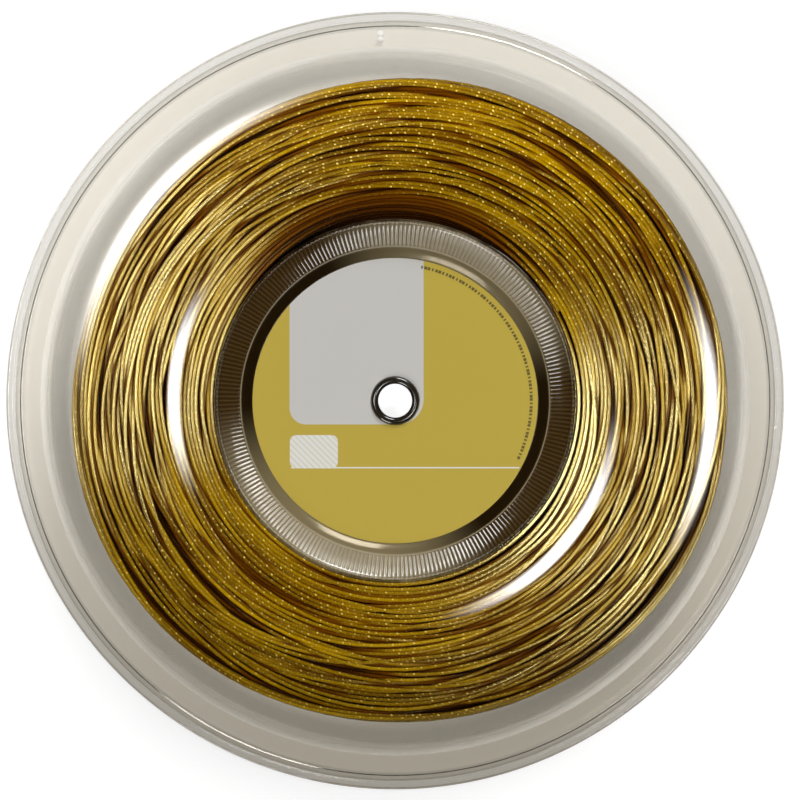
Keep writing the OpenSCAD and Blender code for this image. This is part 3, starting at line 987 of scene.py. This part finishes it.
def settle(r, z, s, flange, edge, rounds):
    """Pushes overlapping turns apart between drum, flanges and edge, and keeps the string smooth."""
    spread, stiffness, pull_in = 0.42, 0.22, 0.5
    pair_rounds, loose_rounds, smooth_rounds = 6, 4, 3
    d = s.diameter
    shape = r.shape
    laid_r, laid_z = r.ravel().copy(), z.ravel().copy()
    for n in range(rounds):
        if n % pair_rounds == 0:
            step, a, b = near_pairs(r, z, 1.5 * d)
            ia, ib = a * shape[1] + step, b * shape[1] + step
        fr, fz = r.ravel(), z.ravel()
        dr, dz = fr[ib] - fr[ia], fz[ib] - fz[ia]
        gap = np.hypot(dr, dz) + 1e-9
        push = np.clip(d - gap, 0, None) * spread / gap
        for flat, delta in ((fr, dr), (fz, dz)):
            move = push * delta
            flat += np.bincount(ib, move, fr.size) - np.bincount(ia, move, fr.size)
        if n < rounds - loose_rounds:
            for flat, laid in ((fr, laid_r), (fz, laid_z)):
                moved = flat - laid
                flat[1:-1] += stiffness * (moved[:-2] + moved[2:] - 2 * moved[1:-1])
        r, z = fr.reshape(shape), fz.reshape(shape)
        np.maximum(r, DRUM_R + d * 0.52, out=r)
        over = r - edge
        r -= np.where(over > 0, over * pull_in, 0)
        hold_between(z, r, d, flange)
    for flat in (r.reshape(-1), z.reshape(-1)):
        for _ in range(smooth_rounds):
            flat[1:-1] = 0.5 * flat[1:-1] + 0.25 * (flat[:-2] + flat[2:])
    hold_between(z, r, d, flange)
    return r, z


def hold_between(z, r, d, flange):
    """Keeps the heights z, in place, clear of the flanges' inner faces by a little over half a string."""
    limit = face_height(r, flange) - d * 0.53
    np.clip(z, -limit, limit, out=z)


def burial(r, z, d):
    """How far neighbouring turns rise over each point towards the nearer flange, in string diameters."""
    reach = 3.0 * d
    step, a, b = near_pairs(r, z, reach)
    ia, ib = a * r.shape[1] + step, b * r.shape[1] + step
    fr, fz = r.ravel(), z.ravel()
    beside = 1 - np.clip(np.abs(fr[ib] - fr[ia]) / reach, 0, 1)
    rise = np.clip(fz[ib] * np.sign(fz[ia]) - np.abs(fz[ia]), 0, None) / d
    fall = np.clip(fz[ia] * np.sign(fz[ib]) - np.abs(fz[ib]), 0, None) / d
    over = np.bincount(ia, rise * beside, fr.size) + np.bincount(ib, fall * beside, fr.size)
    return over.reshape(r.shape)


def winding_edge(angle):
    """Outer radius of the winding, which leans to one side and isn't quite round."""
    lean = np.cos(angle + 0.25) * 2.0 + np.cos(2 * angle - 0.6) * 1.1 + np.cos(3 * angle + 2.0) * 0.8
    return 109.0 * MM + lean * MM


def wound_route(s, flange):
    """Centre line of the string, turn by turn from the drum outwards, its length up to each point
    and how deep each point lies under its neighbours, which with extra shade beside the drum sets the
    painted shade."""
    rng = np.random.default_rng(s.seed)
    d = s.diameter
    t = (np.arange(s.turns * s.steps) / s.steps).reshape(s.turns, s.steps)
    angle = 2 * math.pi * t + math.radians(28.7)
    share = t / s.turns

    # a neat winding: side by side across the drum and back, layer on layer out to the edge
    edge = winding_edge(angle)
    layer_turns = 2 * (HALF_GAP - d * 0.5) / d + 1
    sweep = np.arcsin(np.cos(math.pi * t / layer_turns)) * 2 / math.pi
    r = DRUM_R + d * 0.6 + (edge - DRUM_R - d) * share

    # made uneven: tight near the drum and in the last turns, most tangled to the left and right
    loose = 0.2 + 0.8 * ease((share - 0.12) / 0.3) * np.clip((1 - share) * 10, 0.35, 1)
    neat = (1 - loose) * 0.35
    tangle = 0.7 + 0.3 * np.cos(2 * (angle - math.radians(165)))
    arches = tangle * strays(rng, t, s.strays)
    sway = shared_sway(rng, t)
    r = r + loose * s.wander * (sway + 0.45 * soft_noise(rng, t, 5, 0.4, 1.8) + arches)

    # at the reel's top the first turns stand off the drum and leave a hollow beside it
    hollow_w = 8 * MM
    top = np.exp(-((np.mod(angle - 0.6, 2 * math.pi) - 1.05) ** 2) / 0.45)
    r = r + 3.0 * MM * top * ease((sweep + 0.3) / 0.7) * bell(r - DRUM_R, 5 * MM)
    sunk = 1 - 0.6 * top * bell(r - DRUM_R, hollow_w)

    # heights, with bands of turns that stand nearer to the flanges
    weave = 0.5 * soft_noise(rng, t, 5, 0.4, 1.8)
    z = sunk * sweep * HALF_GAP * (0.92 + neat)
    z = z + loose * s.wander * (shared_sway(rng, t) + weave + tangle * strays(rng, t, s.strays))
    course = r / (5.5 * MM) + 0.35 * np.sin(angle + 1.0) + 0.2 * np.sin(3 * angle)
    bands = soft_noise(rng, course.ravel(), 4, 0.7, 1.6).reshape(r.shape)
    z = z + 1.3 * MM * loose * bands * np.sign(sweep) * ease(np.abs(sweep) * 1.5)

    r, z = settle(r, z, s, flange, edge, 60)
    # painted shade: buried, by which the material darkens the string, adds up the turns that rise over each
    # point, its depth under the flange's face and extra shade in the hollow beside the drum at the reel's
    # top, and fades out at the outer edge
    deep = np.clip((face_height(r, flange) - np.abs(z)) / d - 1.5, 0, 4)
    hollow = 3.5 * top * bell(r - DRUM_R, hollow_w)
    inside = ease((edge - r) / (2.5 * d))
    buried = inside * (burial(r, z, d) + 0.8 * deep + hollow)
    points = np.stack([r * np.cos(angle), r * np.sin(angle), z + MID_Z], axis=2).reshape(-1, 3)
    runs = np.concatenate([[0], np.cumsum(np.linalg.norm(np.diff(points, axis=0), axis=1))])
    return points, runs, buried.ravel()


def wind_pieces(names, s, flange, material):
    """The route cut into pieces that share their end points, each swept into a tube."""
    points, runs, buried = wound_route(s, flange)
    tree = string_tube_tree()
    made = []
    cuts = np.linspace(0, len(points) - 1, len(names) + 1).astype(int)
    for name, start, end in zip(names, cuts[:-1], cuts[1:]):
        part = points[start : end + 1]
        mesh = bpy.data.meshes.new(name)
        mesh.from_pydata(part.tolist(), [(i, i + 1) for i in range(len(part) - 1)], [])
        for label, values in (("along", runs), ("buried", buried)):
            store = mesh.attributes.new(label, "FLOAT", "POINT")
            store.data.foreach_set("value", values[start : end + 1].astype(np.float32))
        piece = run_tree(mesh, tree, name, radius=s.diameter / 2, sides=s.sides, finish=material)
        piece.data.shade_smooth()
        made.append(piece)
    return made, float(runs[-1])


# ---- operators ----


class REEL_OT_mould_flanges(bpy.types.Operator):
    """Moulds the two clear flanges, with the hole for the free end in each brim"""

    bl_idname = "reel.mould_flanges"
    bl_label = "Mould Flanges"

    def execute(self, context):
        s = context.scene.reel_flange
        material = clear_material(context.scene.reel_colours, s)
        section = flange_section(s)
        for name, shape in (("front_flange", section), ("rear_flange", mirrored(section))):
            made = turned("clear_" + name, lifted(shape), s.sectors, material)
            drill(made, s)
            dress(made, "clear_flange", name)
        return {"FINISHED"}


class REEL_OT_mould_hub(bpy.types.Operator):
    """Moulds the two fluted hub halves"""

    bl_idname = "reel.mould_hub"
    bl_label = "Mould Hub"

    def execute(self, context):
        s = context.scene.reel_hub
        seat = HALF_GAP + context.scene.reel_flange.seat_step_h
        material = hub_material(context.scene.reel_colours, s)
        steps = 6
        for name in ("front_hub_half", "rear_hub_half"):
            front = name.startswith("front")
            sections = []
            for k in range(steps + 1):
                dip = math.sin(math.pi * k / steps) ** 2
                section = hub_section(s, dip, front, seat)
                sections.append(lifted(section if front else mirrored(section)))
            mesh = sector_mesh(name, sections, 2 * math.pi / s.flutes)
            made = run_tree(mesh, ring_tree(), "fluted_" + name, count=s.flutes, finish=material)
            shade(made, 40)
            dress(made, "clear_hub", name)
        return {"FINISHED"}


class REEL_OT_turn_bush(bpy.types.Operator):
    """Turns the glossy bush with its rolled lips"""

    bl_idname = "reel.turn_bush"
    bl_label = "Turn Bush"

    def execute(self, context):
        s = context.scene.reel_bush
        section = lifted(bush_section(s, context.scene.reel_hub.web_t))
        made = turned("rolled_bush", section, s.sectors, bush_material(context.scene.reel_colours))
        dress(made, "bush", "spindle_bush")
        return {"FINISHED"}


class REEL_OT_print_label(bpy.types.Operator):
    """Gives the round label its printed face"""

    bl_idname = "reel.print_label"
    bl_label = "Print Label"

    def execute(self, context):
        scene = context.scene
        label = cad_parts["front_label"]
        label.data.materials.clear()
        label.data.materials.append(label_material(scene.reel_colours, scene.reel_label))
        return {"FINISHED"}


class REEL_OT_wind_string(bpy.types.Operator):
    """Winds the whole string on the drum, turn by turn, and lets the turns settle against each other"""

    bl_idname = "reel.wind_string"
    bl_label = "Wind String"

    def execute(self, context):
        scene = context.scene
        material = string_material(scene.reel_colours, scene.reel_string)
        names = ("string_first_layers", "string_middle_layers", "string_last_layers", "string_top_layers")
        pieces, run = wind_pieces(names, scene.reel_string, scene.reel_flange, material)
        print(f"string length {run:.1f} m")
        string_lit = bpy.data.collections[STRING_LIGHT]
        rest_lit = bpy.data.collections[REST_LIGHT]
        for piece in pieces:
            dress(piece, "string", "string_inner_layers", "string_outer_turns")
            string_lit.objects.link(piece)
            rest_lit.objects.link(piece)
            rest_lit.collection_objects[-1].light_linking.link_state = "EXCLUDE"
        return {"FINISHED"}


# ---- stage ----

LAMP_DISTANCE = 1.6


def softbox(name, bearing, width, radiance):
    """A flat oval lamp over the floor beside the reel, brightest in its middle."""
    near, far = 0.27, 0.82
    lamp = bpy.data.lights.new(name, "AREA")
    lamp.shape = "ELLIPSE"
    lamp.size, lamp.size_y = far - near, width
    lamp.energy = radiance * (far - near) * width * math.pi * math.pi / 4
    lamp.use_nodes = True
    tree = lamp.node_tree
    place = add_node(tree, "ShaderNodeNewGeometry").outputs["Parametric"]
    off_middle = add_node(tree, "ShaderNodeVectorMath", {0: place, 1: (0.5, 0.5, 0)}, operation="DISTANCE")
    fade = maths(tree, "POWER", ramp(tree, off_middle.outputs["Value"], 0.0, 0.5, 1.0, 0.0), 1.4)
    tree.links.new(fade, tree.nodes["Emission"].inputs["Strength"])
    obj = bpy.data.objects.new(name, lamp)
    bpy.context.scene.collection.objects.link(obj)
    turn = math.radians(bearing)
    from_axis = (near + far) / 2
    obj.location = (from_axis * math.cos(turn), from_axis * math.sin(turn), LAMP_DISTANCE)
    obj.rotation_euler = (0, 0, turn)


def soft_panel(name, bearing, zenith, size, radiance, collection):
    """A soft panel, size[0] wide and size[1] high, that lights only the collection's objects."""
    lamp = bpy.data.lights.new(name, "AREA")
    lamp.shape = "RECTANGLE"
    lamp.size, lamp.size_y = size
    lamp.energy = radiance * size[0] * size[1] * math.pi
    obj = bpy.data.objects.new(name, lamp)
    bpy.context.scene.collection.objects.link(obj)
    a, e = math.radians(bearing), math.radians(zenith)
    back = Vector((math.sin(e) * math.cos(a), math.sin(e) * math.sin(a), math.cos(e)))
    obj.location = back * LAMP_DISTANCE
    obj.rotation_euler = back.to_track_quat("Z", "Y").to_euler()
    obj.light_linking.receiver_collection = collection


def floor_material():
    """Pale floor: white to the camera and more so under the bore as painted light, with a painted shadow and
    glow seen through the plastic, and it keeps the reel's shadow.
    """
    material, tree, output = new_material("pale_floor")
    rays = add_node(tree, "ShaderNodeLightPath").outputs
    seen, refracted = rays["Is Camera Ray"], rays["Is Transmission Ray"]
    place = add_node(tree, "ShaderNodeTexCoord").outputs["Object"]
    uphill = (-0.12, 0.99, 0.0)
    up = add_node(tree, "ShaderNodeVectorMath", {0: place, 1: uphill}, operation="DOT_PRODUCT")
    up = up.outputs["Value"]
    from_axis = add_node(tree, "ShaderNodeVectorMath", {0: place}, operation="LENGTH").outputs["Value"]
    # painted shadow: seen through the plastic, the floor is darker towards the reel's foot; to the camera it
    # stays evenly pale
    paper = mixed(tree, ramp(tree, up, -0.12, 0.09), (0.48, 0.462, 0.425), (0.90, 0.90, 0.89))
    matt = add_node(tree, "ShaderNodeBsdfDiffuse", {"Color": mixed(tree, seen, paper, (0.88, 0.88, 0.88))})
    # painted light: seen through the plastic the floor also glows, less and warmer towards the reel's foot
    # as painted shade; to the camera it glows evenly, and more under the bore as painted light
    painted_glow_through = maths(tree, "MULTIPLY", refracted, ramp(tree, up, -0.14, 0.09, 0.22, 0.47))
    backdrop_and_bore_glow = ramp(tree, from_axis, 6.5 * MM, 7.5 * MM, 0.90, 0.40)
    painted_shade_warmth = mixed(tree, ramp(tree, up, -0.12, 0.05), (1.0, 0.96, 0.88), (1.0, 1.0, 0.99))
    glow = add_node(
        tree,
        "ShaderNodeEmission",
        {
            "Color": mixed(tree, seen, painted_shade_warmth, (1.0, 1.0, 1.0)),
            "Strength": maths(tree, "MULTIPLY_ADD", seen, backdrop_and_bore_glow, painted_glow_through),
        },
    )
    both = add_node(tree, "ShaderNodeAddShader", {0: matt.outputs[0], 1: glow.outputs[0]})
    tree.links.new(both.outputs[0], output.inputs["Surface"])
    return material


def lay_floor():
    """A wide floor, a hair below the rear rim."""
    half, drop = 6.0, 0.1 * MM
    corners = [(-half, -half, 0), (half, -half, 0), (half, half, 0), (-half, half, 0)]
    mesh = bpy.data.meshes.new("floor")
    mesh.from_pydata(corners, [], [(0, 1, 2, 3)])
    mesh.materials.append(floor_material())
    floor = bpy.data.objects.new("floor", mesh)
    bpy.context.scene.collection.objects.link(floor)
    floor.location.z = -drop


def darken_room(ambient):
    """A world that is white to the camera and lights the reel a little, mostly from low down."""
    world = bpy.data.worlds.new("studio")
    bpy.context.scene.world = world
    world.use_nodes = True
    tree = world.node_tree
    tree.nodes.clear()
    seen = add_node(tree, "ShaderNodeLightPath").outputs["Is Camera Ray"]
    way = add_node(tree, "ShaderNodeTexCoord").outputs["Generated"]
    height = add_node(tree, "ShaderNodeSeparateXYZ", {0: way}).outputs[2]
    room = ramp(tree, height, 0.2, 0.75, ambient, ambient * 0.15)
    unseen = maths(tree, "SUBTRACT", 1.0, seen)
    power = maths(tree, "MULTIPLY_ADD", room, unseen, seen)
    sky = add_node(tree, "ShaderNodeBackground", {"Color": (1, 1, 1, 1), "Strength": power})
    out = tree.nodes.new("ShaderNodeOutputWorld")
    tree.links.new(sky.outputs[0], out.inputs["Surface"])


def hang_lamps(s):
    """Two softboxes for the white arcs, two panels for all but the string and two for the string alone."""
    softbox("left_softbox", 176, 0.60, s.left_power)
    softbox("right_softbox", 320, 0.84, s.right_power)
    rest_lit = bpy.data.collections.new(REST_LIGHT)
    string_lit = bpy.data.collections.new(STRING_LIGHT)
    square, wide = (0.6, 0.6), (1.3, 0.35)
    soft_panel("key_panel", 72, 57, square, s.key_power, rest_lit)
    soft_panel("fill_panel", 245, 57, square, s.fill_power, rest_lit)
    soft_panel("left_panel", 160, 41, wide, s.side_power * 1.15, string_lit)
    soft_panel("right_panel", 346, 41, wide, s.side_power, string_lit)


def set_camera():
    """A long lens over the reel, a little off its axis."""
    distance, view_w = 1.4, 267.4 * MM
    camera = bpy.data.cameras.new("camera")
    camera.sensor_width = 36.0
    camera.lens = camera.sensor_width * distance / view_w
    camera.clip_start, camera.clip_end = 0.05, 50.0
    eye = bpy.data.objects.new("camera", camera)
    bpy.context.scene.collection.objects.link(eye)
    eye.location = (1.64 * MM, 0.23 * MM, CAD_BOX[1].z + distance)
    bpy.context.scene.camera = eye


class REEL_OT_set_stage(bpy.types.Operator):
    """Sets the pale floor, the soft lamps and the camera over the reel"""

    bl_idname = "reel.set_stage"
    bl_label = "Set Stage"

    def execute(self, context):
        studio = context.scene.reel_studio
        context.scene.view_settings.view_transform = "Standard"
        lay_floor()
        darken_room(studio.ambient)
        hang_lamps(studio)
        set_camera()
        return {"FINISHED"}


# ---- sidebar and run ----


class REEL_PT_sidebar(bpy.types.Panel):
    """Sizes, colours and steps of the string reel"""

    bl_idname = "REEL_PT_sidebar"
    bl_label = "String Reel"
    bl_space_type = "VIEW_3D"
    bl_region_type = "UI"
    bl_category = "Reel"

    def draw(self, context):
        layout = self.layout
        for title, group, _ in SETTINGS:
            box = layout.box()
            box.label(text=title)
            settings = getattr(context.scene, group)
            for name in settings.bl_rna.properties.keys():
                if name not in ("rna_type", "name"):
                    box.prop(settings, name)
        for step in STEPS:
            layout.operator(step.bl_idname)


SETTINGS = (
    ("Flanges", "reel_flange", FlangeSizes),
    ("Hub", "reel_hub", HubSizes),
    ("Bush", "reel_bush", BushSizes),
    ("Label", "reel_label", LabelSizes),
    ("String", "reel_string", StringSizes),
    ("Colours", "reel_colours", ReelColours),
    ("Studio", "reel_studio", StudioSettings),
)
STEPS = (
    REEL_OT_set_stage,
    REEL_OT_mould_flanges,
    REEL_OT_mould_hub,
    REEL_OT_turn_bush,
    REEL_OT_print_label,
    REEL_OT_wind_string,
)


CLASSES = (*(kind for _, _, kind in SETTINGS), *STEPS, REEL_PT_sidebar)


def register():
    for kind in CLASSES:
        bpy.utils.register_class(kind)
    for _, name, kind in SETTINGS:
        setattr(bpy.types.Scene, name, PointerProperty(type=kind))


def unregister():
    for _, name, _ in SETTINGS:
        delattr(bpy.types.Scene, name)
    for kind in reversed(CLASSES):
        bpy.utils.unregister_class(kind)


def main():
    register()
    grain_group()
    axis_group()
    for step in STEPS:
        area, name = step.bl_idname.split(".")
        getattr(getattr(bpy.ops, area), name)()
    bpy.context.view_layer.update()


if __name__ == "__main__":
    main()
